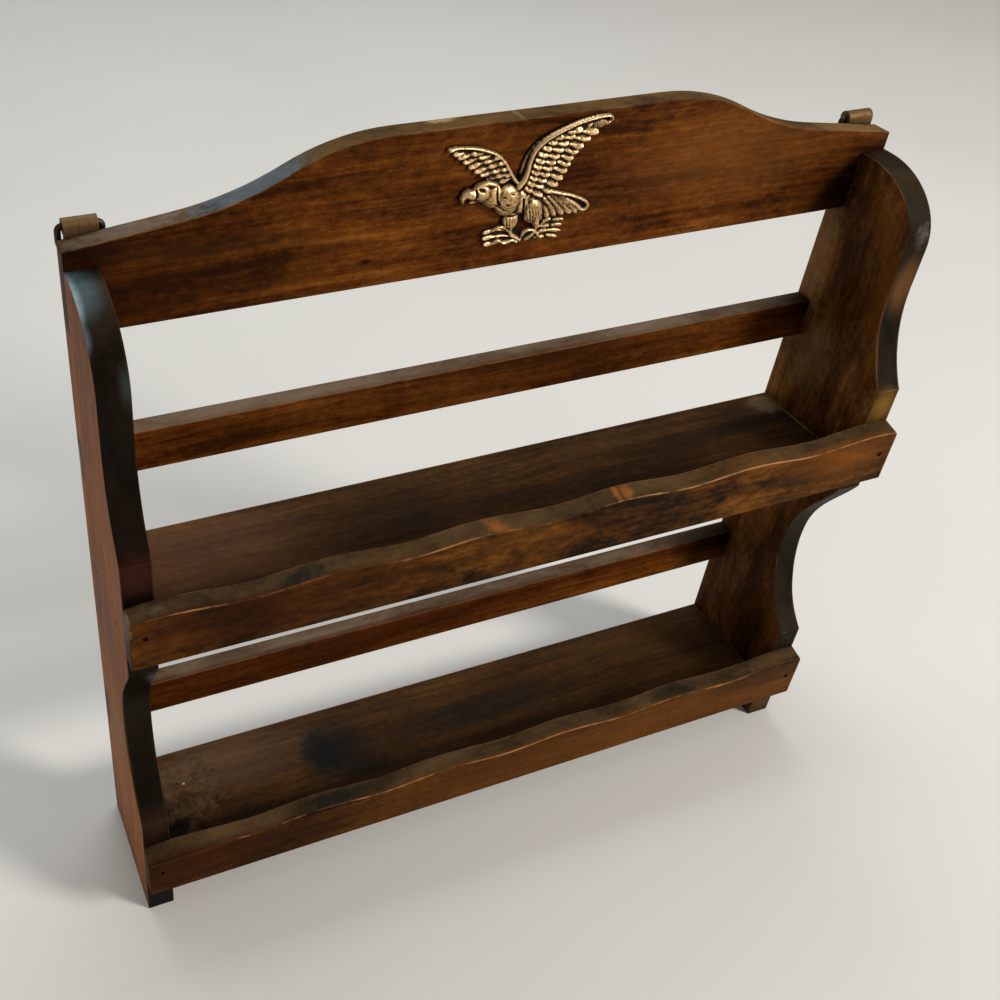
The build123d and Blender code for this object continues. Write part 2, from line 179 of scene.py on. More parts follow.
class Wood(Tree):
    """Dark stained wood, coloured layer by layer. Its patches are placed in millimetres."""

    def __init__(self, name, grain, seed):
        super().__init__(name)
        self.grain = grain
        self.pos = self.add("TexCoord").outputs["Object"]
        self.place = self.vec("ADD", self.pos, seed)
        geometry = self.add("NewGeometry").outputs
        self.true_normal = geometry["True Normal"]
        self.facing = self.add("SeparateXYZ", {0: geometry["Normal"]}).outputs
        self.up = self.span(self.facing[Z], 0.55, 0.95)
        film = self.span(self.noise(self.place, 70.0, 5, 0.7), 0.3, 0.75, 0.35, 1.0)
        self.dusty = self.mul(self.up, film)
        tear = self.noise(self.place, 240.0, 4, 0.7)
        self.ragged = self.mul(self.math("SUBTRACT", tear, 0.5), 1.3)
        self.on_edge = 0.0
        self.cracks = 0.0

    def stretch(self, along, across):
        """A vector with one value along the grain and another across it."""
        return tuple(along if axis == self.grain else across for axis in range(3))

    def grained(self, v, along, across, detail, rough, warp=0.0):
        """Noise with one scale along the grain and another across it."""
        v = self.add("Mapping", {"Vector": v, "Scale": self.stretch(along, across)}).outputs[0]
        return self.noise(v, 1.0, detail, rough, warp)

    def cover(self, amount, colour):
        self.colour = self.mix(amount, self.colour, colour)

    def from_knot(self, point, squash):
        """The way from a knot's middle, and its length, which counts less along the grain."""
        away = self.vec("SUBTRACT", self.pos, metres(point))
        return away, self.vec("LENGTH", self.vec("MULTIPLY", away, self.stretch(squash, 1.0)))

    def stain(self, tones, blotched, streaked, knots):
        """Figure and streaks along the grain, blotches, pores and knots."""
        sway = self.add("TexNoise", {"Vector": self.place, "Scale": 9.0, "Detail": 2.0}).outputs["Color"]
        sway = self.vec("SUBTRACT", sway, (0.5, 0.5, 0.5))
        bent = self.vec("ADD", self.place, self.vec("MULTIPLY", sway, self.stretch(0.0, 0.010)))
        for point, radius in knots:
            # The grain bends round a knot: places near it are pushed away from its middle.
            away, distance = self.from_knot(point, 0.55)
            near = self.span(distance, 0.0, radius / 1000 * 2.2, 1.0, 0.0)
            bent = self.vec("SUBTRACT", bent, self.scale(away, self.mul(near, 0.8)))
        figure = self.grained(bent, 5, 95, 3, 0.6, 0.4)
        self.streak = self.grained(bent, 18, 480, 4, 0.65)
        self.fine = self.grained(bent, 110, 1500, 3, 0.6)
        self.blotch = self.grained(self.place, 22, 55, 4, 0.6, 0.4)
        wide = self.noise(self.place, 9.0, 2, 0.5)
        self.speck = self.grained(self.place, 230, 420, 5, 0.75)
        tone = self.weighed((figure, FIGURE * streaked), (self.streak, STREAK * streaked),
                            (self.blotch, blotched), (wide, WIDE), (self.speck, SPECK))
        middle = ((FIGURE + STREAK) * streaked + WIDE + SPECK + blotched) / 2
        tone = self.span(tone, middle - SPREAD, middle + SPREAD, smooth=False)
        self.shade = self.span(tone, 0.0, 1.0, 0.62, 1.38, smooth=False)
        dark, low, mid, high = (lin(*c) for c in tones)
        self.colour = self.ramp(tone, [(0.0, dark), (0.36, low), (0.64, mid), (1.0, high)])
        self.pores = self.span(self.fine, 0.58, 0.70)
        self.cover(self.mul(self.pores, 0.45), dark)
        for point, radius in knots:
            _, distance = self.from_knot(point, 0.6)
            core = self.span(distance, radius / 1000 * 0.25, radius / 1000, 1.0, 0.0)
            self.cover(self.mul(core, 0.85), lin(*KNOT))

    def sawn(self, edge, broad_axis):
        """Sawn edges take more stain than the broad faces, which look along one axis."""
        self.on_edge = self.span(self.math("ABSOLUTE", self.facing[broad_axis]), 0.35, 0.8, 1.0, 0.0)
        mottle = self.span(self.weighed((self.blotch, 0.7), (self.speck, 0.3)), 0.35, 0.65)
        self.cover(self.on_edge, self.ramp(mottle, [(0.0, lin(*edge[0])), (1.0, lin(*edge[1]))]))

    def shaded(self, tone):
        """A tone through which the figure of the wood still shows."""
        return self.scale(lin(*tone)[:3], self.shade)

    def reach(self, point, size):
        """How far out a place lies from a point, in half sizes along each axis."""
        offset = self.vec("SUBTRACT", self.pos, metres(point))
        return self.vec("LENGTH", self.vec("DIVIDE", offset, metres(size)))

    def soft_patch(self, point, size, amount):
        return self.span(self.reach(point, size), 0.2, 1.1, amount, 0.0)

    def torn_patch(self, point, size, core, rim, amount):
        """A patch that is whole as far out as its core, and ragged from there to its rim."""
        torn = self.math("ADD", self.reach(point, size), self.ragged)
        return self.span(torn, core, rim, amount, 0.0)

    def craze(self, point, size):
        """A rough finish: pale lumps between torn cracks."""
        there = self.torn_patch(point, size, 0.3, 1.1, 1.0)
        torn = self.grained(self.place, 330, 170, 6, 0.75, 1.9)
        lumps = self.noise(self.place, 150.0, 5, 0.65)
        self.cover(self.mul(there, self.span(lumps, 0.42, 0.66, 0.0, 0.5)), lin(*LUMP))
        cracks = self.math("ADD", self.span(torn, 0.56, 0.62), self.span(lumps, 0.44, 0.28, 0.0, 0.9))
        self.cracks = self.mul(cracks, there)
        self.cover(self.math("MULTIPLY", self.cracks, 0.85, clamp=True), lin(*CRACK))

    def rub(self, amount, tone, radius, gaps, breaks, rounded):
        """Rubs the arrises through to the bare wood, here and there."""
        self.soft = self.rounded_normal(radius / 1000)
        turn = self.vec("DOT_PRODUCT", self.soft, self.true_normal)
        arris = self.span(turn, 0.99, 0.94)
        if rounded:
            # The rounded front arris of a lip faces half up and half forward.
            bend = self.mul(self.span(self.facing[Z], 0.54, 0.68), self.span(self.facing[Y], -0.42, -0.58))
            arris = self.math("MAXIMUM", self.mul(arris, 0.5), bend)
        broken = self.span(self.noise(self.place, breaks, 5, 0.7), gaps, gaps + 0.2)
        self.cover(self.mul(self.mul(arris, broken), amount), lin(*tone))

    def darken_corners_and_holes(self, holes):
        """Painted shade in the corners, where other parts close the wood in, and darker nail holes."""
        corner = self.span(self.openness(WOOD_CORNER, 4), 0.15, 0.8, 0.8, 0.0)
        self.cover(corner, lin(*CORNER_SHADE))
        for point, radius in holes:
            distance = self.vec("DISTANCE", self.pos, metres(point))
            inside = self.span(distance, radius / 1000 * 0.8, radius / 1000, 1.0, 0.0)
            self.cover(inside, lin(*HOLE))

    def finish(self, shine, edge_gloss):
        """The varnish, duller under dust, over a surface with open pores and cracks."""
        rough = self.math("ADD", self.mul(self.math("SUBTRACT", self.blotch, 0.5), 0.3), 0.5)
        rough = self.math("ADD", rough, self.mul(self.dusty, 0.2))
        rough = self.math("SUBTRACT", rough, self.mul(self.on_edge, edge_gloss), clamp=True)
        height = self.weighed((self.streak, 0.5), (self.fine, 0.5))
        height = self.math("SUBTRACT", height, self.mul(self.pores, 0.3))
        height = self.math("SUBTRACT", height, self.mul(self.cracks, 1.5))
        normal = self.bump(height, WOOD_RELIEF, 0.5, self.soft)
        return self.done({"Base Color": self.colour, "Roughness": rough, "Normal": normal,
                          "Specular IOR Level": shine})


def wood(name, grain, seed, tones, edge=None, broad_axis=Y, blotched=0.3, streaked=1.0, knots=(),
         dust=0.2, dust_tone=(92, 72, 50), veils=(), sheens=(), marks=(), tops=(), crazed=None,
         wear=0.8, wear_tone=(170, 104, 50), radius=1.0, gaps=0.36, breaks=60.0, rounded=False,
         holes=(), shine=0.03, edge_gloss=0.0):
    """A wood whose grain runs along one axis, in four tones from dark to light.

    The seed shifts its noise. Veils are soft patches, sheens are those on sawn edges alone,
    marks are ragged patches and tops are ragged ones where the wood faces up. Each has its
    middle, its half sizes, a tone and an amount. Knots and holes have a middle and a radius.
    Arrises are worn as if rounded to the radius: over more of their length the smaller the
    gaps, and in shorter stretches the larger the breaks.
    """
    w = Wood(name, grain, seed)
    w.stain(tones, blotched, streaked, knots)
    if edge:
        w.sawn(edge, broad_axis)
    w.cover(w.mul(w.dusty, dust), lin(*dust_tone))
    for point, size, tone, amount in veils:
        w.cover(w.soft_patch(point, size, amount), w.shaded(tone))
    for point, size, tone, amount in sheens:
        w.cover(w.mul(w.soft_patch(point, size, amount), w.on_edge), w.shaded(tone))
    for point, size, tone, amount in marks:
        w.cover(w.torn_patch(point, size, 0.45, 1.05, amount), w.shaded(tone))
    for point, size, tone, amount in tops:
        w.cover(w.mul(w.torn_patch(point, size, 0.3, 1.05, amount), w.up), w.shaded(tone))
    if crazed:
        w.craze(*crazed)
    w.rub(wear, wear_tone, radius, gaps, breaks, rounded)
    # painted shade in the corners, and darker nail holes
    w.darken_corners_and_holes(holes)
    return w.finish(shine, edge_gloss)


def metal(name, high, low, scale, rough, metallic=0.95, cast=False):
    """Aged metal: bright where it is rubbed, dark tarnish in hollows and in patches."""
    t = Tree(name)
    pos = t.add("TexCoord").outputs["Object"]
    patch = t.noise(pos, scale, 5, 0.65)
    grit = t.noise(pos, scale * 5, 3, 0.6)
    if cast:
        # The casting's mesh carries its own tarnish with painted shade, and says where it is rubbed
        # bright, with painted highlights on the slopes that face the key lamp.
        deep = t.add("Attribute", attribute_name=TARNISH_AND_SHADE).outputs["Fac"]
        deep = t.math("ADD", deep, t.mul(t.math("SUBTRACT", grit, 0.5), 0.35), clamp=True)
        mottle = t.span(patch, 0.5, 0.8, 0.0, 0.35)
    else:
        deep = t.span(t.openness(METAL_CORNER, 6), 0.35, 0.92, 1.0, 0.0)
        mottle = t.span(patch, 0.5, 0.8, 0.0, 0.55)
    tarnish = t.math("ADD", deep, mottle, clamp=True)
    colour = t.mix(tarnish, lin(*high), lin(*low))
    if cast:
        # rubbed crowns, with painted highlights where they face the key lamp
        crown = t.add("Attribute", attribute_name=RUBBED_AND_HIGHLIT).outputs["Fac"]
        colour = t.mix(t.mul(crown, t.span(grit, 0.3, 0.6, 0.3, 0.9)), colour, lin(*POLISHED_AND_HIGHLIT))
    rough = t.span(t.weighed((tarnish, 0.7), (grit, 0.3)), 0.0, 1.0, *rough)
    height = t.math("ADD", patch, t.mul(grit, 0.4))
    normal = t.bump(height, METAL_RELIEF, 0.6, t.rounded_normal(METAL_ROUND))
    return t.done({"Base Color": colour, "Roughness": rough, "Normal": normal, "Metallic": metallic})


def dress(names, material):
    """Gives some of the CAD's nodes a material."""
    for name in names:
        nodes[name].data.materials.clear()
        nodes[name].data.materials.append(material)


# Four tones of stain, from dark to light
FACE = ((18, 6, 0), (52, 23, 3), (90, 46, 9), (128, 76, 24))
DEEP = ((14, 7, 1), (38, 21, 5), (60, 36, 10), (88, 56, 22))
LIP = ((10, 6, 1), (32, 17, 3), (72, 41, 8), (118, 70, 16))
LEFT = ((76, 33, 6), (120, 63, 22), (152, 87, 36), (176, 110, 56))
RIGHT = ((26, 13, 3), (68, 38, 11), (102, 62, 24), (150, 102, 52))

# Two tones of sawn edges
CREST_EDGE = ((48, 30, 12), (104, 74, 36))
LEFT_EDGE = ((10, 6, 3), (26, 17, 9))
RIGHT_EDGE = ((15, 11, 4), (38, 30, 16))
LIP_EDGE = ((36, 25, 12), (84, 62, 36))
RAIL_EDGE = ((70, 52, 36), (112, 92, 74))

# Tones of patches
DAMP = (18, 22, 19)
BARE = (150, 86, 36)
DUST = (112, 96, 80)
# painted sheen: the cool reflection of the lamp behind, on wood that faces up
PAINTED_SHEEN = (98, 114, 122)
HONEY = (116, 70, 20)
# painted shade: a near-black tone laid where shadows fall and in shaded corners
PAINTED_SHADE = (10, 5, 1)

dress(["crest_rail"], wood(
    "crest_wood", X, (0.3, 0.1, 0.0), FACE, CREST_EDGE,
    knots=[((-65.5, 23, 294.9), 2.0)],
    wear_tone=(158, 112, 66), gaps=0.42, breaks=22.0,
    veils=[
        ((-160, 23, 300), (86, 6, 34), (38, 15, 2), 0.6),
        # painted shade: the right side's shadow over the crest's right end, and shade in the corner at its
        # left end
        ((164, 23, 292), (30, 9, 22), PAINTED_SHADE, 0.9),
        ((-170, 22, 314), (26, 3, 7), PAINTED_SHADE, 0.6),
        ((96, 23, 318), (66, 6, 24), (116, 68, 26), 0.55),
    ],
    marks=[
        ((-122, 23, 311), (40, 5, 5), (34, 22, 8), 0.45),
        ((18, 23, 305), (26, 5, 6), (36, 22, 8), 0.5),
    ],
    tops=[
        ((-162, 28, 323), (34, 16, 10), DUST, 0.8),
        # painted sheen: the lamp behind reflected on the crest's top at the left
        ((-112, 28, 331), (38, 16, 14), PAINTED_SHEEN, 0.7),
        ((-5, 27, 344), (1.4, 9, 6), (128, 108, 78), 0.4),
        ((-35, 31, 343.5), (9, 3, 4), (150, 122, 84), 0.9),
        ((160, 28, 318), (26, 16, 8), (120, 88, 54), 0.6),
    ]))
dress(["left_side"], wood(
    "left_side_wood", Z, (1.1, 0.4, 0.0), LEFT, LEFT_EDGE, X,
    wear=0.1, shine=0.05, edge_gloss=0.2,
    veils=[
        ((-179, 0, 90), (2, 60, 110), (146, 98, 46), 0.4),
    ],
    sheens=[
        # painted reflections: the lamp behind on the rounded head of the front edge, and a faint glint
        # lower down; the last two patches are the edge's own dark red-brown
        ((-177, 11, 309), (10, 22, 9), (64, 78, 80), 0.95),
        ((-180, 8, 308), (5, 20, 9), (150, 168, 174), 0.9),
        ((-180, -6, 301), (4.5, 10, 8), (104, 120, 128), 0.85),
        ((-167, -18, 287), (4, 8, 13), (56, 62, 58), 0.7),
        ((-172, -30, 213), (12, 8, 13), (46, 19, 7), 0.9),
        ((-172, -30, 62), (12, 8, 12), (40, 22, 12), 0.8),
    ],
    marks=[
        ((-178, 27.6, 224), (1.5, 0.9, 9), (12, 7, 4), 0.95),
    ]))
dress(["right_side"], wood(
    "right_side_wood", Z, (2.3, 0.8, 0.0), RIGHT, RIGHT_EDGE, X, blotched=0.62, streaked=0.6,
    wear_tone=(160, 116, 74), gaps=0.42, breaks=24.0,
    veils=[
        ((164.5, -4, 285), (3, 10, 24), HONEY, 0.7),
        ((164.5, -13, 256), (3, 9, 30), HONEY, 0.95),
        ((164.5, -22, 232), (3, 8, 24), HONEY, 0.95),
        # painted shade where the crest meets the side
        ((166, 24, 305), (4, 20, 22), PAINTED_SHADE, 0.6),
        ((172, -30, 210), (10, 5, 12), (108, 76, 26), 0.85),
        ((173, -16, 264), (8, 12, 17), (104, 68, 32), 0.7),
        ((166, 0, 70), (4, 34, 44), (38, 22, 8), 0.5),
    ],
    marks=[
        ((166, 27, 255), (3, 9, 50), (128, 94, 58), 0.6),
        ((166, 12, 212), (3, 14, 24), (118, 86, 48), 0.55),
        ((174, -19, 289), (5, 8, 9), (96, 90, 84), 0.55),
        ((174, -30, 236), (5, 8, 12), (62, 56, 58), 0.6),
        ((172, -29, 8), (8, 6, 12), (98, 64, 30), 0.7),
    ]))
dress(["upper_shelf"], wood(
    "upper_shelf_wood", X, (3.1, 0.2, 0.5), DEEP, dust=0.12, dust_tone=(88, 64, 38), shine=0.05,
    veils=[
        # painted sheen: the lamp behind reflected on the shelf's left half
        ((-145, 6, 178), (70, 36, 5), (92, 64, 44), 0.6),
    ],
    marks=[
        ((-100, -22, 178), (16, 10, 5), DAMP, 0.6),
        ((160, 24, 178), (12, 9, 4), (122, 98, 72), 0.5),
        ((166, 6, 178), (1.6, 18, 3), (130, 106, 62), 0.8),
    ]))
dress(["lower_shelf"], wood(
    "lower_shelf_wood", X, (4.7, 0.9, 0.1), DEEP, dust_tone=(88, 62, 36), shine=0.05,
    crazed=((-150, 4, 28), (27, 32, 10)),
    veils=[
        ((-70, 5, 28), (26, 24, 5), DAMP, 0.85),
        ((10, 4, 28), (66, 14, 5), DAMP, 0.55),
        ((-128, 16, 28), (60, 22, 5), (90, 66, 46), 0.6),
        ((120, 4, 28), (70, 40, 5), (46, 27, 9), 0.45),
        # painted shadow of the left side over the shelf's left end
        ((-160, -10, 28), (22, 18, 5), PAINTED_SHADE, 0.9),
    ],
    marks=[
        ((-78, 8, 28), (11, 18, 5), DAMP, 0.8),
        ((-60, -8, 28), (18, 6, 5), DAMP, 0.6),
        ((-148, 12, 28), (0.7, 0.7, 1), (190, 178, 158), 0.8),
    ]))
dress(["upper_front_lip"], wood(
    "upper_lip_wood", X, (5.2, 0.3, 0.7), LIP, LIP_EDGE, blotched=0.7, streaked=0.65,
    knots=[((-17.1, -37.5, 185.1), 3.0), ((85.3, -37.5, 184.8), 2.5)],
    wear=0.85, wear_tone=(184, 124, 76), radius=0.9, gaps=0.43, breaks=26.0, rounded=True,
    veils=[
        ((-130, -37, 188), (110, 3, 22), (48, 21, 5), 0.75),
        ((150, -37, 192), (44, 4, 16), (120, 68, 14), 0.65),
    ],
    marks=[
        ((-8, -37, 190), (30, 4, 9), HONEY, 0.2),
        # the left end's paler end grain, with a painted highlight along its arris
        ((-178, -34, 194), (1.5, 5, 12), (118, 100, 82), 0.6),
    ],
    tops=[
        ((-26, -34, 203), (8, 6, 8), BARE, 0.7),
        ((31, -34, 202), (2, 6, 8), BARE, 0.9),
        ((36, -34, 202), (4, 6, 8), BARE, 0.7),
        ((-110, -34, 200), (16, 6, 8), DAMP, 0.8),
        ((166, -35, 209), (7, 5, 5), (140, 112, 76), 0.6),
        ((-170, -34, 204), (12, 6, 8), DUST, 0.6),
        ((-70, -34, 202), (26, 6, 8), (78, 50, 20), 0.6),
        ((92, -34, 204), (44, 7, 8), (100, 62, 24), 0.6),
    ],
    holes=[((-172, -37.5, 188.5), 1.3), ((172, -37.5, 188.5), 1.5)]))
dress(["lower_front_lip"], wood(
    "lower_lip_wood", X, (6.4, 0.6, 0.2), LIP, LIP_EDGE, streaked=0.8,
    wear=0.85, wear_tone=(184, 120, 70), radius=0.9, gaps=0.46, breaks=20.0, rounded=True,
    veils=[
        ((60, -37, 34), (190, 3, 24), (100, 58, 16), 0.7),
        ((-150, -37, 34), (90, 3, 24), (44, 18, 4), 0.8),
    ],
    tops=[
        ((-88, -34, 48), (22, 6, 10), DAMP, 0.7),
        ((100, -34, 50), (20, 6, 8), DAMP, 0.6),
    ],
    holes=[((-172, -37.5, 37.8), 1.3), ((172, -37.5, 37.8), 1.5)]))
dress(["upper_back_rail"], wood(
    "upper_rail_wood", X, (7.3, 0.1, 0.3), FACE, RAIL_EDGE, wear=0.4,
    veils=[
        # painted shadow over the rail's right end, by the right side
        ((172, 24, 238), (40, 14, 22), PAINTED_SHADE, 0.95),
        ((0, 24, 232), (200, 3, 20), (72, 40, 14), 0.4),
    ],
    marks=[
        ((-178, 30.4, 224), (1.5, 1.8, 9), (168, 148, 126), 0.9),
    ]))
dress(["lower_back_rail"], wood(
    "lower_rail_wood", X, (8.8, 0.5, 0.9), FACE, RAIL_EDGE, wear=0.4,
    veils=[
        # painted shadow over the rail's right end, by the right side
        ((172, 24, 90), (60, 14, 22), PAINTED_SHADE, 0.9),
        ((-60, 24, 86), (220, 3, 24), (56, 25, 8), 0.7),
    ]))
dress(["left_hanger_strap", "right_hanger_strap"],
      metal("aged_brass", (108, 80, 46), (44, 28, 14), scale=420.0, rough=(0.6, 0.85), metallic=0.7))
dress(["left_hanger_ring", "right_hanger_ring"],
      metal("dark_brass", (70, 58, 46), (30, 22, 16), scale=300.0, rough=(0.45, 0.7)))
dress(["hanger_screws", "shelf_nails", "lip_brads", "crest_nails", "rail_nails"],
      metal("dull_steel", (84, 74, 64), (24, 18, 14), scale=500.0, rough=(0.4, 0.65)))


# The cast eagle. Its points are in millimetres about the bird's middle, as the photograph shows
# them if they stand MEASURED_AT above the crest's face. The points of a taller form are moved
# back along the line of sight, by SIGHT_RIGHT and SIGHT_UP for each millimetre more.
MEASURED_AT = 1.4
SIGHT_RIGHT = -0.65
SIGHT_UP = 0.55
BIRD_UP = 0.031        # the bird's middle above the crest's lower edge, in metres
GRID = 0.22            # step of the height map
THINNEST = 0.3         # the casting ends where it would be thinner
GROOVE_FLOOR = 0.25    # no groove cuts deeper than this
TIP = 0.62             # a feather's round tip starts this far along it
BARB_PITCH = 0.75
QUILL_WIDTH = 0.16
QUILL_DEPTH = 0.22     # as a share of the feather's rise
PITS = 0.22            # how deep the casting's skin is pitted


def seen(points, tall):
    """The points of a form that stands this tall, put where the photograph shows them."""
    up = tall - MEASURED_AT
    return [(x + SIGHT_RIGHT * up, z + SIGHT_UP * up) for x, z in points]


def curve(points):
    """A smooth curve through the points, with eight steps from each to the next."""
    if len(points) < 3:
        return points
    ends = np.vstack([2 * points[0] - points[1], points, 2 * points[-1] - points[-2]])
    a, b, c, d = ends[:-3], ends[1:-2], ends[2:-1], ends[3:]
    t = np.linspace(0, 1, 9)[:-1, None, None]
    bow = 2 * a - 5 * b + 4 * c - d
    twist = 3 * b - a - 3 * c + d
    steps = 0.5 * (2 * b + (c - a) * t + bow * t ** 2 + twist * t ** 3)
    return np.vstack([steps.transpose(1, 0, 2).reshape(-1, 2), points[-1:]])


def blurred(field, times):
    """A field with each value evened out with its neighbours, so many times."""
    for _ in range(times):
        for axis in (0, 1):
            field = (np.roll(field, 1, axis) + 2 * field + np.roll(field, -1, axis)) / 4
    return field


class Relief:
    """A height map on the crest's face, in millimetres, built up from rounded forms."""

    def __init__(self, left, right, low, high, step):
        self.step = step
        self.x, self.z = np.meshgrid(np.arange(left, right, step), np.arange(low, high, step))
        self.h = np.zeros_like(self.x)

    def lift(self, inside, h):
        self.h = np.maximum(self.h, np.where(inside, h, 0))

    def near(self, points):
        """Distance to a curve through the points, and how far along it that is, from 0 to 1."""
        p = curve(np.array(points, float))
        best = np.full(self.x.shape, 1e9)
        part = np.zeros(self.x.shape)
        for i in range(len(p) - 1):
            (x0, z0), (x1, z1) = p[i], p[i + 1]
            dx, dz = x1 - x0, z1 - z0
            f = ((self.x - x0) * dx + (self.z - z0) * dz) / max(dx * dx + dz * dz, 1e-9)
            f = np.clip(f, 0, 1)
            d = np.hypot(self.x - x0 - f * dx, self.z - z0 - f * dz)
            hit = d < best
            best[hit] = d[hit]
            part[hit] = (i + f[hit]) / (len(p) - 1)
        return best, part

    def rib(self, points, radii, base, tall=1.0):
        """A tapering round bar along a curve: its radii are spread evenly from end to end."""
        d, t = self.near(seen(points, base + tall * max(radii) * 0.7))
        r = np.interp(t, np.linspace(0, 1, len(radii)), radii)
        self.lift(d < r, base + tall * np.sqrt(np.clip(r * r - d * d, 0, None)))

    def egg(self, x, z, length, width, turn, base, tall):
        """Half an egg that lies on the face, its length turned by some degrees."""
        x, z = seen([(x, z)], base + tall * 0.7)[0]
        c, s = np.cos(np.radians(turn)), np.sin(np.radians(turn))
        u = ((self.x - x) * c + (self.z - z) * s) / (length / 2)
        v = (-(self.x - x) * s + (self.z - z) * c) / (width / 2)
        r = u * u + v * v
        self.lift(r < 1, base + tall * np.clip(1 - r, 0, None) ** 0.5)

    def lobe(self, root, tip, width, base, rise, barbs=0.0, lean=0.25):
        """One feather: narrow at its root, round and highest at its tip, with one edge lower."""
        root, tip = seen([root, tip], base + rise * 0.6)
        dx, dz = tip[0] - root[0], tip[1] - root[1]
        size = np.hypot(dx, dz)
        s = ((self.x - root[0]) * dx + (self.z - root[1]) * dz) / size ** 2
        t = (-(self.x - root[0]) * dz + (self.z - root[1]) * dx) / size
        body = np.clip(0.7 + 0.5 * s, 0, 1)
        end = np.sqrt(np.clip(1 - (np.clip(s - TIP, 0, None) / (1 - TIP)) ** 2, 0, 1))
        v = t / (width / 2 * body * end + 1e-6)
        h = base + rise * (0.25 + 0.75 * s) * (1 - 0.55 * v * v) + lean * rise * v
        h = h + barbs * np.sin((s * size * 1.2 + np.abs(t) * 1.4) * 2 * np.pi / BARB_PITCH)
        h = h - QUILL_DEPTH * rise * np.exp(-(t / QUILL_WIDTH) ** 2)
        self.lift((np.abs(v) < 1) & (s > 0) & (s < 1), h)

    def feathers(self, row, *shape):
        """A row of lobes, each from its root to its tip, that share width, base, rise, barbs and lean."""
        for root, tip in row:
            self.lobe(root, tip, *shape)

    def groove(self, points, width, depth, tall=2.5):
        d, _ = self.near(seen(points, tall))
        cut = np.maximum(self.h - depth * np.exp(-(d / width) ** 2), GROOVE_FLOOR)
        self.h = np.where(self.h > THINNEST, cut, self.h)

    def web(self, points, tall):
        """Fills a straight-sided outline to an even height."""
        inside = np.zeros(self.x.shape, bool)
        for (x0, z0), (x1, z1) in zip(points, points[1:] + points[:1]):
            if z0 != z1:
                cross = (z0 > self.z) != (z1 > self.z)
                inside ^= cross & (self.x < (x1 - x0) * (self.z - z0) / (z1 - z0) + x0)
        self.lift(inside, tall)

    def soften(self):
        """Rounds every form over a little, as sand casting and handling do."""
        self.h = blurred(self.h, 1)

    def pit(self, depth):
        """The uneven skin of a simple casting."""
        skin = blurred(np.random.default_rng(5).normal(0, 1, self.h.shape), 3)
        self.h = np.where(self.h > 0.6, self.h + depth * np.clip(skin, -0.4, 0.25), self.h)


def right_wing(r):
    """The large wing: three rows of feathers behind a leading bar with a looped tip."""
    r.web([
        (-4, -1), (-4, 10), (-2, 16), (4, 21), (13, 24.3), (25, 25.6), (33, 25), (31, 22), (26, 20.8),
        (23, 18), (20, 15), (17.6, 11.5), (15.8, 7.5), (13.6, 3), (11, -1), (4, -5),
    ], 0.7)
    r.feathers([
        ((19.5, 22.6), (27.9, 20.3)), ((16.8, 20.3), (24.9, 18.2)), ((15.4, 17.9), (22.3, 15.6)),
        ((13.6, 15.8), (20.4, 13.6)), ((12.6, 13.6), (18.7, 11.2)), ((11.4, 11.4), (17.7, 8.8)),
        ((10.2, 9.0), (16.8, 6.2)), ((8.8, 6.6), (15.4, 3.3)), ((6.6, 4.2), (13.8, 0.7)),
        ((5.0, 2.4), (11.5, -1.8)),
    ], 3.5, 0.8, 1.0, 0.05, -0.55)
    r.feathers([
        ((13.6, 22.4), (20.6, 22.3)), ((11.8, 20.6), (17.6, 20.1)), ((9.6, 18.6), (15.4, 17.4)),
        ((8.0, 16.6), (13.6, 14.9)), ((6.4, 14.4), (12.3, 12.4)), ((5.2, 12.2), (11.0, 10.2)),
        ((4.2, 10.0), (10.0, 7.8)), ((3.4, 7.8), (9.2, 5.4)), ((2.6, 5.6), (8.2, 3.2)),
        ((1.8, 3.4), (7.4, 0.8)), ((0.6, 1.2), (7.6, -3.0)), ((-0.6, -0.8), (4.4, -4.4)),
    ], 3.0, 1.3, 0.9, 0.05, -0.6)
    r.feathers([
        ((8.6, 20.4), (12.6, 20.2)), ((6.0, 18.8), (10.2, 18.1)), ((4.0, 16.8), (8.4, 15.8)),
        ((2.6, 14.6), (7.0, 13.4)), ((1.8, 12.4), (6.0, 11.0)), ((1.2, 10.2), (5.2, 8.8)),
        ((0.8, 8.0), (4.6, 6.5)), ((0.4, 5.8), (4.0, 4.2)), ((-0.2, 3.6), (3.4, 1.9)),
        ((-0.9, 1.6), (2.6, -0.3)), ((-1.6, -0.2), (1.6, -2.4)),
    ], 2.5, 1.7, 0.7, 0.0, -0.6)
    # The bar is a broad outer slope under one bright ridge, which loops back at the tip.
    r.rib([
        (-3.6, 3.2), (-2.9, 7.0), (-2.2, 11.0), (-0.9, 14.6), (1.6, 18.0), (5.4, 20.9), (10.0, 23.1),
        (15.6, 24.7), (22.0, 25.6),
    ], [1.5, 1.8, 1.9, 1.9, 1.8, 1.5, 1.1, 0.8, 0.5], 0.6, 0.45)
    r.rib([
        (-3.7, 2.1), (-1.5, 4.7), (-0.5, 8.3), (0.1, 12.1), (1.6, 15.7), (4.7, 18.7), (8.9, 21.0),
        (13.8, 22.8), (18.2, 24.3), (24.8, 25.5), (31.1, 25.9), (33.4, 25.0), (33.0, 23.7), (31.4, 22.6),
    ], [1.5, 1.35, 1.1, 0.95, 0.9, 0.85, 0.8, 0.75, 0.7, 0.65, 0.6, 0.55, 0.5, 0.4], 1.9)
    r.lobe((22.4, 22.9), (31.9, 23.9), 2.6, 0.9, 0.8, 0.0, 0.0)


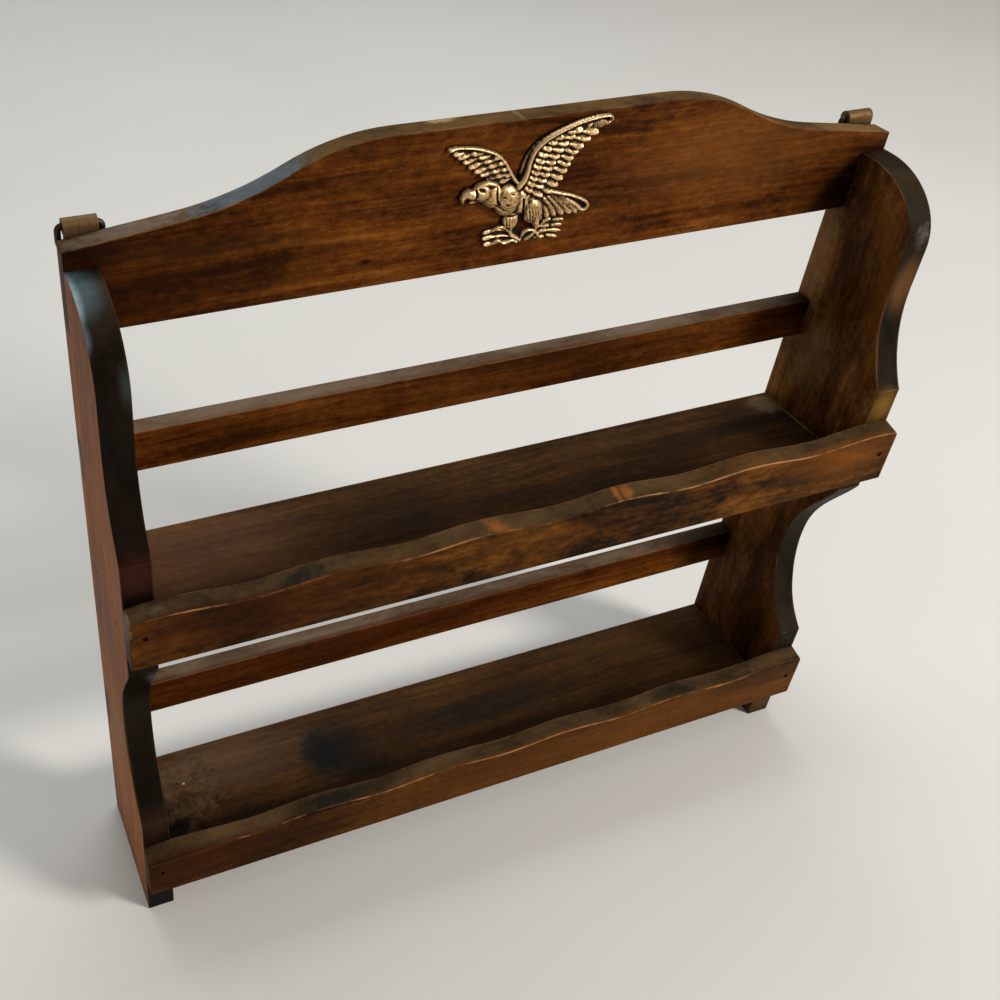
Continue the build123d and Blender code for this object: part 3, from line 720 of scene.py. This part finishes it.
def left_wing(r):
    """The small wing: three rows of feathers behind a plain bar."""
    r.web([
        (-4, -1), (-5, 6), (-9.5, 12), (-14, 16), (-20, 18.6), (-30, 20.6), (-34.6, 20.4),
        (-31, 17.3), (-27, 14), (-22, 10.4), (-18, 7), (-16, 4), (-11, 0),
    ], 0.6)
    r.feathers([
        ((-29.4, 19.8), (-34.0, 19.0)), ((-25.4, 19.2), (-32.0, 17.3)), ((-22.6, 17.4), (-29.6, 15.2)),
        ((-20.2, 15.4), (-27.0, 12.8)), ((-17.6, 13.2), (-24.4, 10.8)), ((-15.4, 11.2), (-21.8, 9.3)),
        ((-13.0, 9.0), (-19.2, 7.4)), ((-10.6, 6.8), (-16.8, 4.8)),
    ], 3.0, 0.7, 1.0, 0.05, 0.55)
    r.feathers([
        ((-20.8, 18.6), (-26.4, 18.3)), ((-17.6, 17.2), (-23.2, 16.4)), ((-15.0, 15.6), (-20.8, 14.4)),
        ((-12.8, 13.6), (-18.6, 12.2)), ((-11.0, 11.4), (-16.8, 10.0)), ((-9.4, 9.2), (-14.8, 7.9)),
        ((-8.0, 7.0), (-12.8, 5.6)),
    ], 2.7, 1.2, 0.8, 0.04, 0.55)
    r.feathers([
        ((-12.4, 15.2), (-16.4, 15.3)), ((-10.6, 13.0), (-14.2, 12.7)), ((-9.0, 10.6), (-12.4, 10.0)),
        ((-7.4, 8.2), (-10.6, 7.3)),
    ], 2.0, 1.6, 0.8, 0.0, 0.3)
    r.rib([
        (-34.9, 20.3), (-31.6, 20.8), (-24.5, 19.9), (-19.3, 18.3), (-14.9, 16.3), (-11.4, 13.3),
        (-8.8, 9.6), (-6.1, 5.6), (-4.1, 3.2),
    ], [0.95, 0.6, 0.6, 0.62, 0.65, 0.7, 0.75, 0.8, 0.8], 1.6)


def body_forms(r):
    """The fanned tail, the thighs, the breast and the hooked head."""
    r.web([
        (-1, 0), (7, -1), (12.2, -1.6), (22, -4.8), (29, -9), (28, -12), (22, -12.4), (10, -13.2),
        (3, -12.6), (-4, -9),
    ], 0.7)
    r.feathers([
        ((2.2, -5.5), (4.6, -12.6)), ((4.0, -5.2), (8.2, -13.2)), ((5.8, -4.8), (11.6, -13.0)),
        ((7.6, -4.4), (14.8, -12.5)), ((9.4, -3.9), (18.4, -12.6)), ((10.8, -3.3), (21.8, -12.7)),
        ((11.6, -2.7), (24.8, -12.9)), ((11.4, -2.2), (27.0, -11.9)),
    ], 3.0, 0.9, 0.9, 0.0, 0.35)
    r.rib([
        (11.2, -1.7), (16.0, -3.2), (21.4, -4.9), (27.2, -7.7), (29.2, -9.8), (28.2, -11.6),
        (26.0, -11.6),
    ], [0.8, 0.75, 0.7, 0.75, 0.8, 0.75, 0.5], 1.2)
    r.egg(-2.2, -4.6, 9.0, 11.0, 20, 0.8, 2.4)
    # Each thigh narrows to a thin shank.
    r.egg(4.4, -9.2, 11.6, 9.2, -62, 0.9, 2.4)
    r.rib([(6.2, -12.6), (7.2, -16.0), (6.6, -18.4)], [2.2, 1.3, 0.8], 0.8)
    r.egg(-5.0, -11.4, 9.0, 7.0, -80, 0.9, 2.0)
    r.rib([(-4.8, -13.0), (-4.3, -16.0), (-3.6, -18.4)], [2.2, 1.2, 0.8], 0.8)
    # Breast, neck and crown
    r.egg(-7.4, -3.4, 13.4, 12.0, -68, 1.2, 3.2)
    r.egg(-14.2, -0.6, 11.5, 9.4, -38, 1.0, 2.9)
    r.egg(-18.8, 1.4, 9.4, 7.8, -20, 1.0, 3.0)
    # Brow, upper beak and lower beak
    r.rib([(-22.6, 3.6), (-20.6, 4.9), (-17.6, 5.3), (-14.4, 4.6), (-12.6, 3.4)],
          [0.5, 0.7, 0.8, 0.8, 0.6], 2.4, 0.8)
    r.rib([(-22.4, 1.0), (-24.8, 1.6), (-26.5, 0.8), (-26.8, -0.9), (-26.0, -2.2)],
          [2.4, 2.1, 1.5, 1.0, 0.4], 1.2)
    r.rib([(-21.8, -0.9), (-23.8, -1.5)], [1.0, 0.7], 1.0)


def body_lines(r):
    """Lines cut into the forms: the hatched wing tip, the face, the neck, the ruffs and the flutes."""
    for i in range(9):
        x = 24.2 + 0.85 * i
        r.groove([(x, 22.2 + 0.05 * i), (x + 0.9, 24.3 + 0.05 * i)], 0.2, 0.8, 1.6)
    r.groove([(-21.9, 3.4), (-21.6, 1.2), (-22.0, -0.6)], 0.26, 0.9, 3.2)
    r.groove([(-22.6, -0.5), (-24.2, -0.6), (-25.6, -0.9)], 0.3, 0.9, 2.2)
    r.groove([(-19.9, 2.9), (-18.6, 2.6)], 0.5, 1.4, 3.8)
    r.groove([(-12.3, 3.4), (-12.9, 1.0), (-12.5, -1.9), (-11.4, -4.0)], 0.28, 1.0, 3.4)
    r.groove([(-1.2, -3.0), (-0.5, -7.0), (0.2, -10.0), (0.3, -13.0)], 0.42, 1.6, 2.2)
    r.groove([(-9.6, -9.2), (-5.6, -9.7), (-1.2, -9.4)], 0.32, 1.0, 2.6)
    for i in range(4):
        x = -14.2 + 1.5 * i
        ruff = [(x, -3.6 - 0.9 * i), (x + 3.6, -4.8 - 1.0 * i), (x + 7.4, -4.6 - 1.0 * i)]
        r.groove(ruff, 0.16, 0.35, 3.4)
    for x, z in ((-9.8, -1.2), (-6.4, -0.4), (-8.4, -4.2)):
        r.groove([(x, z), (x + 1.4, z - 0.5)], 0.2, 0.3, 4.0)
    for i in range(7):
        x = 0.9 + 1.15 * i
        flute = [(x, -6.2 - 0.3 * i), (x + 0.6 + 0.2 * i, -10.4), (x * 0.7 + 2.6, -14.2)]
        r.groove(flute, 0.16, 0.5, 2.8)
    for i in range(5):
        x = -7.6 + 1.4 * i
        r.groove([(x, -10.4), (x * 0.75 - 1.0, -13.6)], 0.16, 0.5, 2.4)


def claw_forms(r):
    """The claws on what they hold: arrows to the left and a leafy branch to the right."""
    r.web([
        (-14.5, -14.8), (-4, -15.6), (4, -16.0), (15, -14.4), (17.4, -15.4), (16.8, -21.4), (6, -21.2),
        (-12, -21.2), (-15.6, -20.2),
    ], 0.45)
    # Each arrow is a broad head and a shaft that runs to the claws.
    for (x, z), drop in (((-16.9, -15.3), 1.5), ((-16.9, -17.7), 0.6), ((-16.0, -20.3), -0.2)):
        r.lobe((x + 4.8, z + 0.5 * drop), (x - 0.2, z), 1.9, 0.8, 0.9)
        r.rib([(x + 3.6, z + 0.4 * drop), (x + 9.0, z + 0.1), (-0.6, -19.4)], [0.42, 0.42, 0.4], 0.9)
    toes = [
        [(-12.6, -14.8), (-10.4, -13.9), (-8.0, -14.1), (-5.5, -16.0), (-2.7, -18.5), (-0.2, -20.4)],
        [(-4.3, -15.8), (-4.2, -18.0), (-1.6, -19.6), (0.4, -21.2)],
        [(-11.8, -20.5), (-9.6, -19.5), (-6.6, -21.1), (-3.4, -20.5), (-0.6, -21.5)],
        [(6.6, -17.6), (3.4, -16.9), (1.2, -18.3), (0.6, -20.9)],
        [(6.6, -17.8), (5.0, -19.6), (2.8, -21.2)],
        [(6.8, -18.0), (8.2, -19.8), (9.6, -21.0)],
    ]
    for points in toes:
        r.rib(points, [0.55, 0.62, 0.6, 0.4], 1.3)
    r.rib([(3.6, -20.4), (8.6, -18.6), (15.6, -18.2)], [0.4, 0.38, 0.3], 1.0)
    r.rib([(4.0, -19.8), (7.4, -16.4), (11.4, -13.9)], [0.4, 0.38, 0.3], 1.0)
    r.feathers([
        ((14.0, -14.2), (19.2, -14.4)), ((13.8, -16.6), (18.8, -16.6)), ((13.2, -18.8), (18.6, -19.2)),
        ((12.0, -20.6), (17.6, -21.9)), ((9.2, -14.2), (13.2, -13.4)), ((8.6, -16.6), (13.0, -16.3)),
        ((7.6, -18.4), (12.0, -18.3)), ((6.6, -20.8), (11.4, -20.9)),
    ], 1.7, 0.8, 0.9)


def closed(r, face_y, middle_z):
    """The relief's top, a flat back on the crest's face and upright walls between, as one mesh."""
    keep = r.h > THINNEST
    cell = keep[:-1, :-1] & keep[1:, :-1] & keep[:-1, 1:] & keep[1:, 1:]
    rows, cols = keep.shape
    used = np.zeros_like(keep)
    for i in (0, 1):
        for j in (0, 1):
            used[i:rows - 1 + i, j:cols - 1 + j] |= cell
    count = int(used.sum())
    index = np.full(keep.shape, -1)
    index[used] = np.arange(count)
    x, z, h = r.x[used], r.z[used], r.h[used]
    top = np.stack([x, -h, z], 1)
    back = np.stack([x, np.zeros(count), z], 1)
    verts = np.vstack([top, back]) / 1000 + np.array([0, face_y, middle_z])
    a, b = index[:-1, :-1][cell], index[:-1, 1:][cell]
    c, d = index[1:, 1:][cell], index[1:, :-1][cell]
    quads = np.stack([a, b, c, d], 1).tolist()
    backs = (np.stack([a, d, c, b], 1) + count).tolist()
    edges = dict.fromkeys((p, q) for quad in quads for p, q in zip(quad, quad[1:] + quad[:1]))
    walls = [(q, p, p + count, q + count) for p, q in edges if (q, p) not in edges]
    mesh = bpy.data.meshes.new("eagle_relief")
    mesh.from_pydata(verts.tolist(), [], quads + backs + walls)
    mesh.validate()
    mesh.shade_smooth()
    return mesh, used


def tarnish(mesh, r, used):
    """Marks where tarnish and painted shade lie on the relief, and where it is rubbed bright, with painted
    highlights.
    """
    around = blurred(r.h, 30)
    # Tarnish fills the hollows; painted shade darkens the slopes turned down and to the left, away from
    # the key lamp.
    fall_z, fall_x = np.gradient(r.h, r.step)
    painted_slope_shade = np.clip(0.6 * fall_x + 0.5 * fall_z - 0.15, 0, 0.55)
    deep = np.clip((around - r.h + 0.13) / 0.24, 0, 1) + painted_slope_shade
    low = np.clip((1.15 - r.h) / 0.5, 0, 1)
    deep = np.clip(np.maximum(deep, low), 0, 1)[used]
    # The crowns of the forms are rubbed bright; painted highlights brighten them more where they face up
    # and to the right, towards the key lamp.
    crown = np.clip((r.h - around - 0.02) / 0.3 + 0.35 * (-fall_x - fall_z), 0, 1)[used]
    for label, values, behind in ((TARNISH_AND_SHADE, deep, 1.0), (RUBBED_AND_HIGHLIT, crown * (1 - deep), 0.0)):
        layer = mesh.attributes.new(label, "FLOAT", "POINT")
        layer.data.foreach_set("value", np.concatenate([values, np.full(len(values), behind)]))


def eagle_mesh(face_y, middle_z):
    """The casting, in metres: its forms, the lines cut in them, and the claws over both."""
    r = Relief(left=-38.0, right=36.0, low=-24.5, high=29.0, step=GRID)
    right_wing(r)
    left_wing(r)
    body_forms(r)
    r.soften()
    body_lines(r)
    claw_forms(r)
    r.soften()
    r.pit(PITS)
    mesh, used = closed(r, face_y, middle_z)
    tarnish(mesh, r, used)
    return mesh


crest_low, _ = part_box("crest_rail")
relief = bpy.data.objects.new("eagle_relief", eagle_mesh(crest_low.y, crest_low.z + BIRD_UP))
bpy.context.scene.collection.objects.link(relief)
relief.data.materials.append(metal(
    "cast_brass", (186, 144, 92), (18, 8, 3), scale=500.0, rough=(0.3, 0.7), metallic=0.8, cast=True))
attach(relief, "rack")
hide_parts("eagle_emblem")

# Floor, light and camera, in metres
FLOOR_HALF = 6.0
TARGET = Vector((0, 0, 0.15))


def stage():
    """A plain pale floor."""
    t = Tree("floor_paint")
    pos = t.add("TexCoord").outputs["Object"]
    cloud = t.mix(t.noise(pos, 3.0, 2, 0.5), lin(212, 207, 199), lin(222, 218, 210))
    paint = t.done({"Base Color": cloud, "Roughness": 0.85, "Specular IOR Level": 0.2})
    mesh = bpy.data.meshes.new("floor")
    corners = [(x * FLOOR_HALF, y * FLOOR_HALF, 0) for x, y in ((-1, -1), (1, -1), (1, 1), (-1, 1))]
    mesh.from_pydata(corners, [], [(0, 1, 2, 3)])
    floor = bpy.data.objects.new("floor", mesh)
    bpy.context.scene.collection.objects.link(floor)
    floor.data.materials.append(paint)


def lamp(name, place, size, power, tint):
    """A round lamp that looks at the target, the middle of the shelf."""
    data = bpy.data.lights.new(name, "AREA")
    data.shape = "DISK"
    data.size = size
    data.energy = power
    data.color = tint
    o = bpy.data.objects.new(name, data)
    o.location = place
    o.rotation_euler = (TARGET - Vector(place)).to_track_quat("-Z", "Y").to_euler()
    bpy.context.scene.collection.objects.link(o)


def light():
    """Plain, soft studio light: a pale world, a warm key and a cool lamp from behind."""
    world = bpy.data.worlds.new("studio")
    bpy.context.scene.world = world
    world.use_nodes = True
    sky = world.node_tree.nodes["Background"]
    sky.inputs["Color"].default_value = (1.0, 1.0, 1.0, 1)
    sky.inputs["Strength"].default_value = 0.33
    lamp("key", (1.35, -1.3, 1.3), 0.6, 40, (1.0, 0.985, 0.96))
    lamp("window", (0.0, 0.75, 1.6), 1.3, 13, (0.86, 0.94, 1.0))


def camera():
    """The photograph's camera, fitted to the shelf's corners."""
    data = bpy.data.cameras.new("camera")
    data.lens = 42.370
    data.sensor_width = 36.0
    data.shift_x = 0.1887
    data.shift_y = -0.0425
    data.clip_start = 0.01
    data.clip_end = 50
    o = bpy.data.objects.new("camera", data)
    o.location = (-0.23484, -0.33343, 0.50931)
    o.rotation_euler = Euler((0.905697, -0.035968, -0.372857), "XYZ")
    bpy.context.scene.collection.objects.link(o)
    bpy.context.scene.camera = o


stage()
light()
camera()
bpy.context.scene.view_settings.view_transform = "Standard"
